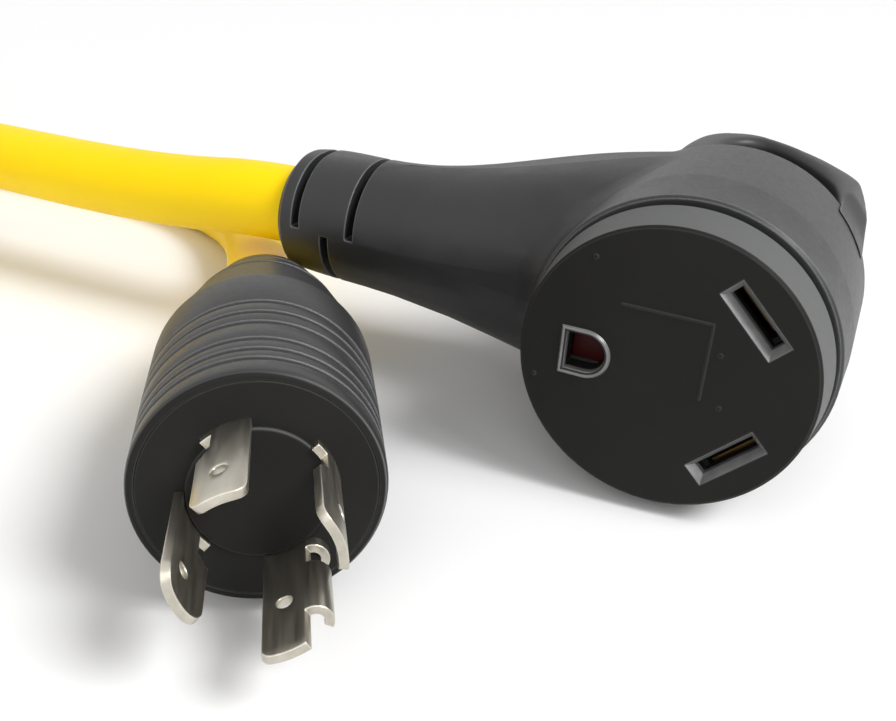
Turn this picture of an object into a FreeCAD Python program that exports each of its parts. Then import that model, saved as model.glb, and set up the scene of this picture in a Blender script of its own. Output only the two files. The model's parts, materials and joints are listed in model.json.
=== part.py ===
import FreeCAD, Part
import math
import os

# Shore power cord: a right-angle outlet head with a pull handle, a round yellow cord put away
# in a neat coil, and a four-blade twist-lock plug. Millimetres, +Z up, floor at z = 0.
# The outlet's barrel lies along Y with its face towards -Y, and its neck points towards -X.

V = FreeCAD.Vector

# Outlet head, in its own axes: +y into the barrel from the face, +x from the ground hole to the blades
FACE_R = 28.0
PUCK_BACK_R = 29.2
PUCK_DEPTH = 9.8
FACE_EDGE = 0.5
SPIGOT_R = 26.5
RIM_Y = 11.5
RIM_R = 30.4
RIM_EDGE = 0.6
RIM_TAPER = 14.0
BARREL_R = 30.9
BARREL_BACK_Y = 55.0
BARREL_EDGE = 2.5
INSERT_BACK_Y = 22.0
CARRIER_R = 24.0
CARRIER_BACK_Y = 34.0
REST_ROLL = 3.6

# Outlet neck: distance from the barrel's axis, half height, front and back, front and back corner radii
NECK_Y = 41.5
NECK_LENGTH = 102.0
NECK_END_R = 14.5
NECK_STATIONS = ((4.0, 30.0, 20.5, 55.0, 24.0, 5.0), (27.0, 25.2, 22.0, 57.0, 22.0, 6.5),
                 (45.0, 20.8, 23.5, 58.2, 19.0, 10.0), (62.0, 17.5, 24.6, 58.4, 17.0, 16.0),
                 (80.0, 15.8, 25.8, 57.2, 15.4, 15.4), (NECK_LENGTH, NECK_END_R, 27.0, 56.0, 14.4, 14.4))
NECK_BLEND = 8.0
NECK_END_EDGE = 1.5
SLOT_WIDTH = 2.2
SLOT_FLOOR_R = 11.3
SLOT_RIB_DEG = 1.5
NECK_SLOTS = ((96.2, 1), (88.0, -1), (81.0, 1))
JACKET_START = 60.0

# Pull handle: an arched strap across the barrel's back; outline points, the gap's share of it, and the
# round limit of its sides
HANDLE_OUTLINE = ((28.5, 50.0), (27.6, 60.0), (25.0, 71.0), (20.0, 80.5), (13.0, 89.5), (4.5, 97.5), (-5.0, 101.5),
                  (-13.0, 97.0), (-17.0, 86.0), (-18.0, 72.0), (-18.0, 54.0))
HANDLE_FOOT_Y = 48.0
HANDLE_HALF_HEIGHT = 23.0
HANDLE_GAP_WIDTH = 0.68
HANDLE_GAP_DEPTH = 0.87
HANDLE_EDGE = 2.0
HANDLE_PLAIN = 10.0
HANDLE_SIDE_R = 32.0
HANDLE_SIDE_X = 1.0

# Openings in the outlet's face
BLADE_X = 14.3
BLADE_Z = 14.1
BLADE_SLANT = 45.0
BLADE_SLOT = (12.6, 2.6)
BLADE_MOUTH = (15.0, 5.0)
MOUTH_DEPTH = 1.8
WALL_Y = 5.0
GROUND_X = -14.9
GROUND_HALF = 4.0
GROUND_BORDER = 0.9
BORDER_HEIGHT = 0.35
LABEL_BOX = (-9.4, 7.2, -3.5, 11.5)
LABEL_LINE = 0.4
PIPS = ((-24.4, -6.7), (-15.3, 19.6), (9.6, 6.2), (11.2, -4.1))
PIP_R = 0.45

# Contacts: strip width, blade gap, pocket room outside the leaf
STRIP = 0.8
LEAF_THICK = 0.5
LEAF_TIP_Y = 8.0
CONTACT_FRONT_Y = 6.5
CONTACT_BACK_Y = 28.0
HOLDER_LENGTH = 7.0
BLADE_GAP = 1.2
GROUND_GAP = 6.3
BLADE_STRIP_HALF = 5.2
GROUND_STRIP_HALF = 3.2
LEAF_LEAN = 1.8
LEAF_FLARE = 3.0
LEAF_ROOM = 1.0
SEAT_GAP = 0.2
POCKET_PLAY = 0.3
CRIMP_R = 2.9
CRIMP_BORE_R = 1.9
CRIMP_LENGTH = 10.0

# Carrier screws
SCREW_POINTS = ((-4.0, 17.0), (-4.0, -17.0))
SCREW_R = 1.4
SCREW_START_Y = 13.0
SCREW_HEAD_R = 2.8
SCREW_HEAD = 1.8

# Wires and cord
WIRE_R = 2.2
WIRE_CIRCLE = 4.2
WIRE_ANGLES = {"neutral": 60.0, "line": -60.0, "ground": 180.0}
WIRE_RUN = 16.0
WIRE_BACK_Y = 48.0
CORD_R = 9.75
ARC_SHARE = 0.45
MIN_GAP = 0.4

# Plug, in its own axes: +y towards its tail, blades towards -y
PLUG_FACE_R = 20.3
PLUG_PROFILE = ((20.8, 1.2), (21.4, 24.0), (21.75, 46.0), (21.0, 48.6), (20.2, 49.6), (19.2, 60.0),
                (17.4, 71.0), (14.8, 82.0), (13.6, 88.0))
PLUG_GROOVES = (8.0, 11.5, 18.0, 21.5, 28.5, 32.0)
GROOVE_WIDTH = 1.3
GROOVE_DEPTH = 0.9
GROOVE_DRAFT = 0.3
PLUG_SLOTS = ((81.0, 1), (75.0, -1), (68.0, 1))
PLUG_INSERT_R = 19.2
PLUG_INSERT_Y = 8.0
BOSS_R = 11.35
BOSS_HEIGHT = 0.8
PLUG_CARRIER_R = 16.5
PLUG_CARRIER_Y = 16.0
PLUG_JACKET_Y = 50.0
PLUG_WIRE_RUNS = (7.0, 6.0)
PLUG_LIFT = 0.02
PLUG_TILT = 3.2
PLUG_TURN = 33.4
PLUG_OFFSET = (-50.4, -56.5)

# Plug blades: name, middle angle on the circle, angle that it covers, length in front of the face
BLADE_CIRCLE_R = 12.3
BLADE_THICK = 1.5
BLADE_TIP_Y = 22.0
GROUND_BLADE_TIP_Y = 25.5
BLADES = (("neutral_blade", 110.0, 38.0, BLADE_TIP_Y), ("line_blade", 200.0, 38.0, BLADE_TIP_Y),
          ("ground_blade", 287.0, 30.0, GROUND_BLADE_TIP_Y), ("spare_line_blade", 22.0, 38.0, BLADE_TIP_Y))
NOTCH_START = 1.6
NOTCH_END = 6.5
NOTCH_SHOULDER = 10.0
NOTCH_DEG = 11.0
NOTCH_OVERCUT_DEG = 4.0
TIP_CUT = 1.6
HOLE_R = 1.3
HOLE_Y = 14.5
FOLD_LENGTH = 4.2
FOLD_DEG = -38.0
FOLD_END_Y = 18.0
FOLD_LAP = 0.2
PLUG_CRIMP_END_Y = 26.0

# Coil: one tube, spiralling in on the floor and out again on top
COIL_CENTRE = (-451.8, 27.0)
COIL_R = 121.0
COIL_STEP = 20.5
COIL_RISE = 20.0
COIL_START_DEG = 75.0
COIL_TURN_DEG = 1335.0
CLIMB_DEG = 180.0
COIL_LEAD = 2 * CORD_R

# Hand-chosen points of the two free stretches, measured from the face's centre in plan and up from the
# floor; their ends come from the head, the coil and the plug
HEAD_RUN = 14.0
HEAD_POINTS = ((-142.0, 43.2, 35.7), (-176.0, 46.2, 35.0), (-238.1, 53.4, 35.8), (-269.6, 47.6, 33.8),
               (-298.1, 33.1, 31.4))
COIL_RUN = 32.0
PLUG_RUN = 10.5
PLUG_POINTS = ((-118.4, 43.9, 13.2), (-143.4, 78.2, 10.9), (-170.0, 100.8, 9.9), (-201.5, 113.8, 9.75),
               (-256.0, 118.5, 9.75), (-310.0, 123.8, 9.75))
PLUG_COIL_RUN = 34.0


def save(name, shape):
    """Write one node."""
    shape.exportStep("parts/%s.step" % name)


def cylinder(radius, y0, y1, x=0.0, z=0.0):
    """A cylinder along y."""
    return Part.makeCylinder(radius, y1 - y0, V(x, y0, z), V(0, 1, 0))


def turned(points):
    """A solid of revolution about y from (radius, y) points."""
    wire = Part.makePolygon([V(r, y, 0) for r, y in points] + [V(points[0][0], points[0][1], 0)])
    return Part.Face(wire).revolve(V(0, 0, 0), V(0, 1, 0), 360)


def block(x0, x1, y0, y1, z0, z1):
    """A box between two corners."""
    return Part.makeBox(x1 - x0, y1 - y0, z1 - z0, V(x0, y0, z0))


def cut(shape, *tools):
    """Cut the tools away, one fused tool at a time."""
    for tool in tools:
        shape = shape.cut(tool)
    return shape


def fused(first, *others):
    """One solid of several."""
    return first.multiFuse(list(others)).removeSplitter()


def rounded_path(points):
    """Straight runs joined by tangent arcs; each arc takes its share of the shorter run."""
    edges = []
    radii = []
    last = points[0]
    for before, corner, after in zip(points, points[1:], points[2:]):
        run_in, run_out = corner - before, after - corner
        inward, outward = V(run_in).normalize(), V(run_out).normalize()
        half = inward.getAngle(outward) / 2
        reach = ARC_SHARE * min(run_in.Length, run_out.Length)
        radii.append(reach / math.tan(half))
        start, end = corner - inward * reach, corner + outward * reach
        middle = (start + end) * 0.5
        sagitta = (end - start).Length / 2 * math.tan(half / 2)
        top = middle + (corner - middle).normalize() * sagitta
        edges += [Part.LineSegment(last, start).toShape(), Part.Arc(start, top, end).toShape()]
        last = end
    edges.append(Part.LineSegment(last, points[-1]).toShape())
    return Part.Wire(edges), radii


def pipe(wire, start, direction, radius):
    """A round solid swept along a wire."""
    ring = Part.Wire([Part.Circle(start, direction, radius).toShape()])
    shell = Part.BRepOffsetAPI.MakePipeShell(wire)
    shell.add(ring)
    shell.build()
    shell.makeSolid()
    return shell.shape()


def tube(points, radius, label=None):
    """A round tube along a hand-chosen route; prints its length, radii and volume check."""
    wire, radii = rounded_path(points)
    solid = pipe(wire, points[0], points[1] - points[0], radius)
    if label:
        ideal = math.pi * radius ** 2 * wire.Length
        print("%s: length %.1f, least radius %.1f, radii %s, volume ratio %.4f" %
              (label, wire.Length, min(radii), [round(r) for r in radii], solid.Volume / ideal))
    return solid


def ring_slot(x, side, reach):
    """Half a ring round the x axis that cuts a strain-relief slot on the upper or lower side."""
    outer = Part.makeCylinder(reach, SLOT_WIDTH, V(x - SLOT_WIDTH / 2, 0, 0), V(1, 0, 0))
    inner = Part.makeCylinder(SLOT_FLOOR_R, SLOT_WIDTH, V(x - SLOT_WIDTH / 2, 0, 0), V(1, 0, 0))
    rib = SLOT_FLOOR_R * math.sin(math.radians(SLOT_RIB_DEG))
    low = rib if side > 0 else -reach
    high = reach if side > 0 else -rib
    return outer.cut(inner).common(block(x - SLOT_WIDTH, x + SLOT_WIDTH, -reach, reach, low, high))


def place_head(shape):
    """Roll the outlet head until its neck rests on the plug's cord, and stand it on the floor."""
    placed = shape.copy()
    placed.rotate(V(0, 0, 0), V(0, 1, 0), REST_ROLL)
    placed.translate(HEAD_AT)
    return placed


def head_point(point):
    """A point of the outlet head in the part's frame."""
    return FreeCAD.Rotation(V(0, 1, 0), REST_ROLL).multVec(point) + HEAD_AT


def place_plug(shape):
    """Lay the plug on the floor in front of the neck's end."""
    placed = shape.copy()
    placed.rotate(V(0, 0, 0), V(1, 0, 0), -PLUG_TILT)
    placed.rotate(V(0, 0, 0), V(0, 0, 1), PLUG_TURN)
    placed.translate(PLUG_AT)
    return placed


def plug_point(point):
    """A point of the plug in the part's frame."""
    tilt = FreeCAD.Rotation(V(1, 0, 0), -PLUG_TILT)
    turn = FreeCAD.Rotation(V(0, 0, 1), PLUG_TURN)
    return turn.multVec(tilt.multVec(point)) + PLUG_AT


def blade_frame(sign):
    """Placement of a blade contact: local x along the slot, local z across it, outwards."""
    turn = FreeCAD.Rotation(V(0, 1, 0), BLADE_SLANT * sign)
    return FreeCAD.Placement(V(BLADE_X, 0, BLADE_Z * sign), turn)


def ground_frame():
    """Placement of the ground contact: its leaf is on the neck's side."""
    return FreeCAD.Placement(V(GROUND_X, 0, 0), FreeCAD.Rotation(V(0, 1, 0), 90.0))


CONTACTS = (("neutral", blade_frame(1), BLADE_STRIP_HALF, BLADE_GAP, 1),
            ("line", blade_frame(-1), BLADE_STRIP_HALF, BLADE_GAP, -1),
            ("ground", ground_frame(), GROUND_STRIP_HALF, GROUND_GAP, 1))


def moved(shape, placement):
    """A copy of a shape, carried by a placement."""
    copy = shape.copy()
    copy.transformShape(placement.toMatrix())
    return copy


def contact_levels(gap):
    """Heights across a contact: plate face, leaf tip face, leaf root face, holder face."""
    plate = gap / 2 + STRIP / 2
    tip = plate - gap
    root = tip - LEAF_LEAN
    return plate, tip, root, root - LEAF_THICK - SEAT_GAP


def contact_solid(half, gap, side):
    """A brass contact: fixed plate, back web, leaf holder and crimp barrel."""
    plate, tip, root, holder = contact_levels(gap)
    fixed = block(-half, half, CONTACT_FRONT_Y, CONTACT_BACK_Y, plate, plate + STRIP)
    web = block(-half, half, CONTACT_BACK_Y - STRIP, CONTACT_BACK_Y, holder - STRIP, plate + STRIP)
    hold = block(-half, half, CONTACT_BACK_Y - HOLDER_LENGTH, CONTACT_BACK_Y, holder - STRIP, holder)
    barrel = cylinder(CRIMP_R, CONTACT_BACK_Y, CONTACT_BACK_Y + CRIMP_LENGTH)
    solid = fused(fixed, web, hold, barrel)
    solid = solid.cut(cylinder(CRIMP_BORE_R, CONTACT_BACK_Y, CONTACT_BACK_Y + CRIMP_LENGTH))
    return solid if side > 0 else solid.mirror(V(0, 0, 0), V(0, 0, 1))


def leaf_solid(half, gap, side):
    """The contact's spring leaf, leaning in from its root at the back to its flared tip."""
    plate, tip, root, holder = contact_levels(gap)
    back = CONTACT_BACK_Y - STRIP - SEAT_GAP
    bend = LEAF_TIP_Y + LEAF_FLARE
    face = [(back, root), (bend, tip), (LEAF_TIP_Y, tip - LEAF_THICK)]
    under = [(y, z - LEAF_THICK) for y, z in reversed(face)]
    points = [V(-half + POCKET_PLAY, y, z) for y, z in face + under]
    profile = Part.Face(Part.makePolygon(points + [points[0]]))
    solid = profile.extrude(V(2 * (half - POCKET_PLAY), 0, 0))
    return solid if side > 0 else solid.mirror(V(0, 0, 0), V(0, 0, 1))


def pocket_solid(half, gap, side, front):
    """Room for one contact and its leaf's travel, from behind the slot's wall."""
    plate, tip, root, holder = contact_levels(gap)
    low = min(holder - STRIP, tip - 2 * LEAF_THICK - LEAF_ROOM)
    solid = block(-half - POCKET_PLAY, half + POCKET_PLAY, front, CONTACT_BACK_Y, low, plate + STRIP)
    return solid if side > 0 else solid.mirror(V(0, 0, 0), V(0, 0, 1))


def rectangle(width, height, y):
    """A rectangular wire across y."""
    w, h = width / 2, height / 2
    corners = [V(-w, y, -h), V(w, y, -h), V(w, y, h), V(-w, y, h), V(-w, y, -h)]
    return Part.makePolygon(corners)


def blade_opening():
    """A blade slot with its funnel mouth."""
    mouth = Part.makeLoft([rectangle(BLADE_MOUTH[0], BLADE_MOUTH[1], 0), rectangle(*BLADE_SLOT, MOUTH_DEPTH)],
                          True, True)
    slot = block(-BLADE_SLOT[0] / 2, BLADE_SLOT[0] / 2, MOUTH_DEPTH, WALL_Y, -BLADE_SLOT[1] / 2, BLADE_SLOT[1] / 2)
    return mouth.fuse(slot)


def ground_opening(grow, y0, y1):
    """The ground hole: flat on the neck's side, round towards the middle."""
    half = GROUND_HALF + grow
    flat = block(GROUND_X - half, GROUND_X, y0, y1, -half, half)
    return fused(flat, cylinder(half, y0, y1, GROUND_X, 0))


def make_face():
    """The outlet's face insert: puck, spigot, three openings with their pockets, raised marks."""
    puck = turned(((0, 0), (FACE_R - FACE_EDGE, 0), (FACE_R, FACE_EDGE), (PUCK_BACK_R, PUCK_DEPTH - FACE_EDGE),
                   (PUCK_BACK_R - FACE_EDGE, PUCK_DEPTH), (SPIGOT_R, PUCK_DEPTH), (SPIGOT_R, INSERT_BACK_Y),
                   (0, INSERT_BACK_Y)))
    border = ground_opening(GROUND_BORDER, -BORDER_HEIGHT, 0.0)
    left, right, low, high = LABEL_BOX
    top_line = block(left, right, -LABEL_LINE / 2, 0, high, high + LABEL_LINE)
    side_line = block(right, right + LABEL_LINE, -LABEL_LINE / 2, 0, low, high + LABEL_LINE)
    pips = [cylinder(PIP_R, -LABEL_LINE / 2, 0, x, z) for x, z in PIPS]
    solid = fused(puck, border, top_line, side_line, *pips)
    solid = solid.cut(ground_opening(0, -1, WALL_Y))
    for name, frame, half, gap, side in CONTACTS:
        if name != "ground":
            solid = solid.cut(moved(blade_opening(), frame))
        solid = solid.cut(moved(pocket_solid(half, gap, side, WALL_Y), frame))
    return cut(solid, *[cylinder(SCREW_R, SCREW_START_Y, INSERT_BACK_Y, x, z) for x, z in SCREW_POINTS])


def make_carrier():
    """The contact carrier behind the insert, with holes for the crimp barrels and the screws."""
    solid = cylinder(CARRIER_R, INSERT_BACK_Y, CARRIER_BACK_Y)
    for name, frame, half, gap, side in CONTACTS:
        solid = solid.cut(moved(pocket_solid(half, gap, side, INSERT_BACK_Y), frame))
        solid = solid.cut(moved(cylinder(CRIMP_R, CONTACT_BACK_Y, CARRIER_BACK_Y), frame))
    return cut(solid, *[cylinder(SCREW_R, INSERT_BACK_Y, CARRIER_BACK_Y, x, z) for x, z in SCREW_POINTS])


def make_screws():
    """Two screws that hold the carrier to the insert."""
    screws = []
    for x, z in SCREW_POINTS:
        shaft = cylinder(SCREW_R, SCREW_START_Y, CARRIER_BACK_Y, x, z)
        head = cylinder(SCREW_HEAD_R, CARRIER_BACK_Y, CARRIER_BACK_Y + SCREW_HEAD, x, z)
        screws.append(fused(shaft, head))
    return screws


def make_head_wires():
    """Three insulated wires from the jacket's end in the neck to the crimp barrels."""
    wires = {}
    crimp_y = CONTACT_BACK_Y + CRIMP_LENGTH
    for name, frame, half, gap, side in CONTACTS:
        angle = math.radians(WIRE_ANGLES[name])
        y = NECK_Y - WIRE_CIRCLE * math.cos(angle)
        z = WIRE_CIRCLE * math.sin(angle)
        end = frame.Base
        points = [V(-JACKET_START, y, z), V(-JACKET_START + WIRE_RUN, y, z), V(end.x, WIRE_BACK_Y, end.z),
                  V(end.x, crimp_y, end.z)]
        wires[name] = tube(points, WIRE_R)
    return wires


def neck_section(s, half, front, back, front_r, back_r):
    """A rounded rectangle across the neck, with its own corner radii at the front and the back."""
    def at(y, z):
        return V(-s, y, z)

    corners = ((front, -half, front_r, 1, 1), (back, -half, back_r, -1, 1),
               (back, half, back_r, -1, -1), (front, half, front_r, 1, -1))
    edges = []
    last = None
    for index, (y, z, r, dy, dz) in enumerate(corners):
        low, high = at(y, z + r * dz), at(y + r * dy, z)
        start, end = (low, high) if index % 2 == 0 else (high, low)
        bulge = r * (1 - math.sqrt(0.5))
        arc = Part.Arc(start, at(y + bulge * dy, z + bulge * dz), end).toShape()
        if last:
            edges.append(Part.LineSegment(last, start).toShape())
        else:
            first = start
        edges.append(arc)
        last = end
    edges.append(Part.LineSegment(last, first).toShape())
    return Part.Wire(edges)


def housing_form():
    """The barrel and the neck as one full solid."""
    barrel = turned(((0, RIM_Y), (RIM_R - RIM_EDGE, RIM_Y), (RIM_R, RIM_Y + RIM_EDGE), (BARREL_R, RIM_Y + RIM_TAPER),
                     (BARREL_R, BARREL_BACK_Y - BARREL_EDGE),
                     (BARREL_R - BARREL_EDGE * 0.3, BARREL_BACK_Y - BARREL_EDGE * 0.3),
                     (BARREL_R - BARREL_EDGE, BARREL_BACK_Y), (0, BARREL_BACK_Y)))
    neck = Part.makeLoft([neck_section(*station) for station in NECK_STATIONS], True, False)
    form = fused(barrel, neck)
    throat = V(-BARREL_R, NECK_STATIONS[0][2], 0)
    meeting = min(form.Edges, key=lambda edge: edge.CenterOfMass.distanceToPoint(throat))
    return form.Solids[0].makeFillet(NECK_BLEND, [meeting])


def make_housing(form, inside):
    """The moulded barrel and neck, with the strain-relief slots and everything inside taken out."""
    solid = form
    for s, side in NECK_SLOTS:
        slot = ring_slot(-s, side, BARREL_R)
        slot.translate(V(0, NECK_Y, 0))
        solid = solid.cut(slot)
    end = Part.makeCylinder(BARREL_R, NECK_END_EDGE, V(-NECK_LENGTH, NECK_Y, 0), V(1, 0, 0))
    bevel = Part.makeCone(NECK_END_R - NECK_END_EDGE, NECK_END_R, NECK_END_EDGE, V(-NECK_LENGTH, NECK_Y, 0), V(1, 0, 0))
    solid = solid.cut(end.cut(bevel))
    solid = cut(solid, cylinder(SPIGOT_R, RIM_Y, INSERT_BACK_Y), cylinder(CARRIER_R, INSERT_BACK_Y, CARRIER_BACK_Y))
    return cut(solid, *inside)


def handle_arch(wide, deep):
    """A slab under the handle's arched outline, scaled about the barrel's back."""
    middle = (HANDLE_OUTLINE[0][0] + HANDLE_OUTLINE[-1][0]) / 2
    points = [V(middle + (x - middle) * wide, BARREL_BACK_Y + (y - BARREL_BACK_Y) * deep, -BARREL_R)
              for x, y in HANDLE_OUTLINE]
    curve = Part.BSplineCurve()
    curve.interpolate(points)
    foot = Part.makePolygon([points[-1], V(points[-1].x, HANDLE_FOOT_Y, -BARREL_R),
                             V(points[0].x, HANDLE_FOOT_Y, -BARREL_R), points[0]])
    return Part.Face(Part.Wire([curve.toShape()] + foot.Edges)).extrude(V(0, 0, 2 * BARREL_R))


# Where the head and the plug stand in the part's frame, centred over the outlet's head
roll = math.radians(REST_ROLL)
neck_reach = NECK_LENGTH * math.cos(roll) + NECK_END_R * math.sin(roll)
HANDLE_TOP_Y = handle_arch(1.0, 1.0).optimalBoundingBox().YMax
HEAD_AT = V((neck_reach - BARREL_R) / 2, -(HANDLE_TOP_Y - BORDER_HEIGHT) / 2, BARREL_R)
tilt_rad = math.radians(PLUG_TILT)
plug_rise = max(r * math.cos(tilt_rad) + y * math.sin(tilt_rad) for r, y in PLUG_PROFILE)
PLUG_AT = V(HEAD_AT.x + PLUG_OFFSET[0], HEAD_AT.y + PLUG_OFFSET[1], plug_rise + PLUG_LIFT)


def make_handle(form):
    """The strap: an arch over the barrel's back with rounded sides, pierced by the finger gap."""
    slab = block(-2 * BARREL_R, 2 * BARREL_R, HANDLE_FOOT_Y, 2 * BARREL_BACK_Y,
                 -HANDLE_HALF_HEIGHT, HANDLE_HALF_HEIGHT)
    arch = handle_arch(1.0, 1.0).cut(handle_arch(HANDLE_GAP_WIDTH, HANDLE_GAP_DEPTH)).common(slab)
    edges = [e for e in arch.Edges if e.CenterOfMass.y > BARREL_BACK_Y + HANDLE_PLAIN
             and abs(abs(e.CenterOfMass.z) - HANDLE_HALF_HEIGHT) < 0.01]
    arch = arch.makeFillet(HANDLE_EDGE, edges)
    return arch.common(cylinder(HANDLE_SIDE_R, HANDLE_FOOT_Y, 2 * BARREL_BACK_Y, HANDLE_SIDE_X)).cut(form)


def plug_radius(y):
    """The plug body's radius at a depth."""
    for (r0, y0), (r1, y1) in zip(PLUG_PROFILE, PLUG_PROFILE[1:]):
        if y0 <= y <= y1:
            return r0 + (r1 - r0) * (y - y0) / (y1 - y0)
    return PLUG_PROFILE[-1][0]


def on_circle(radius, degrees, y):
    """A point round the plug's axis."""
    angle = math.radians(degrees)
    return V(radius * math.cos(angle), y, radius * math.sin(angle))


def sector(inner, outer, start, end, y0, y1):
    """Part of a ring round y, between two angles."""
    middle = (start + end) / 2
    edges = [Part.Arc(on_circle(outer, start, y0), on_circle(outer, middle, y0), on_circle(outer, end, y0)).toShape(),
             Part.LineSegment(on_circle(outer, end, y0), on_circle(inner, end, y0)).toShape(),
             Part.Arc(on_circle(inner, end, y0), on_circle(inner, middle, y0), on_circle(inner, start, y0)).toShape(),
             Part.LineSegment(on_circle(inner, start, y0), on_circle(outer, start, y0)).toShape()]
    return Part.Face(Part.Wire(edges)).extrude(V(0, y1 - y0, 0))


def side_wedge(degrees, along, y_points):
    """A prism that trims a blade's side or tip: (turn along the circle, y) corners, pushed radially."""
    inner, outer = BLADE_CIRCLE_R - 3 * BLADE_THICK, BLADE_CIRCLE_R + 3 * BLADE_THICK
    faces = []
    for radius in (inner, outer):
        points = [on_circle(radius, degrees + a * along, y) for a, y in y_points]
        faces.append(Part.makePolygon(points + [points[0]]))
    return Part.makeLoft(faces, True, True)


def make_blade(middle, span, tip, folded):
    """One curved blade with its lock notch, hole, cut tip corners and crimp barrel."""
    inner, outer = BLADE_CIRCLE_R - BLADE_THICK / 2, BLADE_CIRCLE_R + BLADE_THICK / 2
    start, end = middle - span / 2, middle + span / 2
    solid = sector(inner, outer, start, end, -tip, PLUG_CARRIER_Y)
    cut_deg = math.degrees(TIP_CUT / BLADE_CIRCLE_R)
    corner = ((-cut_deg, -tip - 1.0), (cut_deg, -tip - 1.0), (cut_deg, -tip), (0.0, -tip + TIP_CUT),
              (-cut_deg, -tip + TIP_CUT))
    solid = solid.cut(side_wedge(start, 1, corner))
    if folded:
        solid = solid.fuse(fold_solid(end))
    else:
        solid = solid.cut(side_wedge(end, -1, corner))
        notch = ((-NOTCH_OVERCUT_DEG, -NOTCH_START), (NOTCH_DEG, -NOTCH_START), (NOTCH_DEG, -NOTCH_END),
                 (-NOTCH_OVERCUT_DEG, -NOTCH_SHOULDER))
        solid = solid.cut(side_wedge(end, -1, notch))
    hole = Part.makeCylinder(HOLE_R, 6 * BLADE_THICK, on_circle(inner - 2 * BLADE_THICK, middle, -HOLE_Y),
                             on_circle(1, middle, 0))
    solid = solid.cut(hole)
    at = on_circle(BLADE_CIRCLE_R, middle, 0)
    barrel = cylinder(CRIMP_R, PLUG_CARRIER_Y, PLUG_CRIMP_END_Y, at.x, at.z)
    bore = cylinder(CRIMP_BORE_R, PLUG_CARRIER_Y, PLUG_CRIMP_END_Y, at.x, at.z)
    return solid.fuse(barrel.cut(bore)).removeSplitter()


def fold_solid(end):
    """The ground blade's folded side, leaving the circle outwards."""
    root = on_circle(BLADE_CIRCLE_R, end, 0)
    turn = FreeCAD.Rotation(V(0, 1, 0), -FOLD_DEG)
    plate = block(-FOLD_LAP, FOLD_LENGTH, -FOLD_END_Y, PLUG_CARRIER_Y / 2, -BLADE_THICK / 2, BLADE_THICK / 2)
    plate = fused(plate, cylinder(BLADE_THICK / 2, -FOLD_END_Y, PLUG_CARRIER_Y / 2))
    return moved(plate, FreeCAD.Placement(root, turn))


def make_plug_wires():
    """Three wires from the crimp barrels to the jacket's end in the plug."""
    wires = {}
    for name, middle, span, tip in BLADES[:3]:
        points = [on_circle(BLADE_CIRCLE_R, middle, PLUG_CRIMP_END_Y),
                  on_circle(BLADE_CIRCLE_R, middle, PLUG_CRIMP_END_Y + PLUG_WIRE_RUNS[0]),
                  on_circle(WIRE_CIRCLE, middle, PLUG_JACKET_Y - PLUG_WIRE_RUNS[1]),
                  on_circle(WIRE_CIRCLE, middle, PLUG_JACKET_Y)]
        wires[name.replace("_blade", "")] = tube(points, WIRE_R)
    return wires


def make_plug_body(inside):
    """The plug's moulded body: grooved barrel, shoulder and slotted strain relief."""
    tail = PLUG_PROFILE[-1][1]
    solid = turned(((0, 0), (PLUG_FACE_R, 0)) + PLUG_PROFILE + ((0, tail),))
    for y in PLUG_GROOVES:
        r = plug_radius(y)
        narrow, wide = GROOVE_WIDTH / 2 - GROOVE_DRAFT, GROOVE_WIDTH / 2 + GROOVE_DRAFT
        ring = turned(((r - GROOVE_DEPTH, y - narrow), (r + 1, y - wide), (r + 1, y + wide), (r - GROOVE_DEPTH, y + narrow)))
        solid = solid.cut(ring)
    for y, side in PLUG_SLOTS:
        slot = ring_slot(0, side, BARREL_R)
        slot.rotate(V(0, 0, 0), V(0, 0, 1), 90)
        slot.translate(V(0, y, 0))
        solid = solid.cut(slot)
    return cut(solid, *inside)


def on_floor(x, y, z):
    """A point measured from the face's centre in plan and up from the floor."""
    return V(HEAD_AT.x + x, HEAD_AT.y + y, z)


def coil_point(turned_deg):
    """A point of the coil's centreline after so many degrees from its start."""
    flat = (COIL_TURN_DEG - CLIMB_DEG) / 2
    inner = COIL_R - COIL_STEP * flat / 360
    if turned_deg <= flat:
        radius, height = COIL_R - COIL_STEP * turned_deg / 360, 0.0
    elif turned_deg < flat + CLIMB_DEG:
        share = (turned_deg - flat) / CLIMB_DEG
        radius = inner - COIL_STEP * CLIMB_DEG / 360 * (share - share ** 2)
        height = COIL_RISE * share ** 2 * (3 - 2 * share)
    else:
        radius, height = inner + COIL_STEP * (turned_deg - flat - CLIMB_DEG) / 360, COIL_RISE
    angle = math.radians(COIL_START_DEG + turned_deg)
    centre = on_floor(*COIL_CENTRE, CORD_R + height)
    return centre + V(radius * math.cos(angle), radius * math.sin(angle), 0)


def coil_heading(turned_deg):
    """The coil's direction of travel at such a point."""
    step = 0.05
    ahead = coil_point(min(turned_deg + step, COIL_TURN_DEG))
    return (ahead - coil_point(max(turned_deg - step, 0.0))).normalize()


def arc_between(start, heading, end):
    """A tangent arc from a point and heading to an end point."""
    chord = end - start
    half = heading.getAngle(chord)
    side = (heading - V(chord).normalize() * math.cos(half)).normalize()
    top = (start + end) * 0.5 + side * (chord.Length / 2 * math.tan(half / 2))
    return Part.Arc(start, top, end).toShape()


def biarc(start, heading_in, end, heading_out):
    """Two tangent arcs between two points with given headings."""
    chord = end - start
    total = heading_in + heading_out
    spread = 2 * (1 - heading_in.dot(heading_out))
    along = chord.dot(total)
    reach = (-along + math.sqrt(along ** 2 + spread * chord.dot(chord))) / spread
    joint = (start + heading_in * reach + end - heading_out * reach) * 0.5
    first = arc_between(start, heading_in, joint)
    turned_out = arc_between(end, heading_out * -1, joint)
    points = [turned_out.valueAt(turned_out.LastParameter),
              turned_out.valueAt((turned_out.FirstParameter + turned_out.LastParameter) / 2),
              turned_out.valueAt(turned_out.FirstParameter)]
    return [first, Part.Arc(*points).toShape()]


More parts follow.
